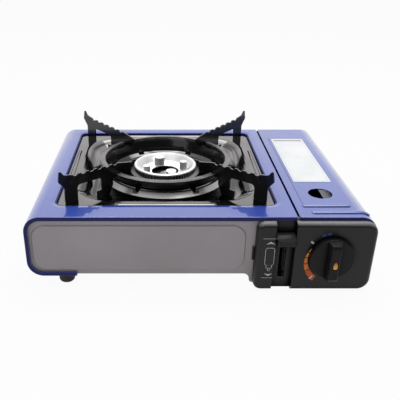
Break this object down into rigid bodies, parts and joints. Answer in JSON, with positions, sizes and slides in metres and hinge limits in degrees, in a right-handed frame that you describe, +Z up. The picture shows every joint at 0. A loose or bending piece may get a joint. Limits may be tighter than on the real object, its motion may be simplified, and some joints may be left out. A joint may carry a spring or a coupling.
{
  "type": "portable cassette gas stove",
  "caption": "Portable cassette gas stove: painted steel body, drip pan, scalloped pan support, burner, hinged cartridge lid, control knob and lock lever.",
  "frame": {"origin": "centre of the bounding box's bottom face, on the table under the stove", "axes": "+X to the user's right, +Y away from the user, +Z up"},
  "size_m": [0.34, 0.2848, 0.1122],
  "materials": {
    "blue_paint": "gloss",
    "grey_paint": "satin",
    "zinc_steel": "satin",
    "black_plastic": "satin",
    "stainless": "polished",
    "black_enamel": "gloss",
    "cast_aluminium": "satin",
    "brass": "satin",
    "rubber": "matte",
    "ceramic": "satin",
    "label_white": "satin"
  },
  "bodies": {
    "stove_body": {"top_shell": "blue_paint", "front_panel": "grey_paint", "rear_panel": "grey_paint", "base_plate": "zinc_steel", "cartridge_tray": "zinc_steel", "heat_shield": "zinc_steel", "control_panel": "black_plastic", "control_panel_screws": "zinc_steel", "foot_front_left": "rubber", "foot_rear_left": "rubber", "foot_front_right": "rubber", "foot_rear_right": "rubber", "foot_screws": "zinc_steel", "burner_cap": "cast_aluminium", "burner_body": "cast_aluminium", "burner_screw": "zinc_steel", "burner_bracket": "zinc_steel", "bracket_screws": "zinc_steel", "mixing_tube": "zinc_steel", "gas_jet": "brass", "gas_pipe": "brass", "electrode_ceramic": "ceramic", "electrode_tip": "zinc_steel", "electrode_bracket": "zinc_steel", "igniter": "black_plastic", "igniter_lead": "rubber", "governor_body": "cast_aluminium", "governor_cover": "zinc_steel", "governor_screws": "zinc_steel", "inlet_nozzle": "brass", "inlet_seal": "rubber", "cartridge_guide": "zinc_steel", "hinge_pin_front": "zinc_steel", "hinge_pin_rear": "zinc_steel"},
    "lid": {"lid": "blue_paint", "lid_label": "label_white"},
    "knob": {"knob": "black_plastic", "valve_spindle": "zinc_steel"},
    "lock_lever": {"lever_tab": "black_plastic", "lever_slide": "zinc_steel"},
    "cartridge_pusher": {"pusher_bar": "zinc_steel", "pusher_plate": "zinc_steel"},
    "drip_pan": {"drip_pan": "stainless"},
    "pan_support": {"pan_support_ring": "black_enamel", "support_arm_front_left": "black_enamel", "support_arm_front_right": "black_enamel", "support_arm_rear_left": "black_enamel", "support_arm_rear_right": "black_enamel"}
  },
  "joints": [
    {"name": "knob_turn", "type": "hinge", "parent": "stove_body", "child": "knob", "pos_m": [0.127, -0.13, 0.0405], "axis": [0, -1, 0], "range_deg": [0, 150]},
    {"name": "lever_press", "type": "slide", "parent": "stove_body", "child": "lock_lever", "axis": [0, 0, -1], "range_m": [0, 0.035]},
    {"name": "pusher_slide", "type": "slide", "parent": "stove_body", "child": "cartridge_pusher", "axis": [0, -1, 0], "range_m": [0, 0.006]},
    {"name": "lid_open", "type": "hinge", "parent": "stove_body", "child": "lid", "pos_m": [0.166, 0, 0.016], "axis": [0, 1, 0], "range_deg": [0, 90]},
    {"name": "drip_pan_lift", "type": "slide", "parent": "stove_body", "child": "drip_pan", "axis": [0, 0, 1], "range_m": [0, 0.05]},
    {"name": "pan_support_lift", "type": "slide", "parent": "drip_pan", "child": "pan_support", "axis": [0, 0, 1], "range_m": [0, 0.05]}
  ],
  "couplings": [
    {"joint": "pusher_slide", "follows": "lever_press", "ratio": 0.17143}
  ]
}
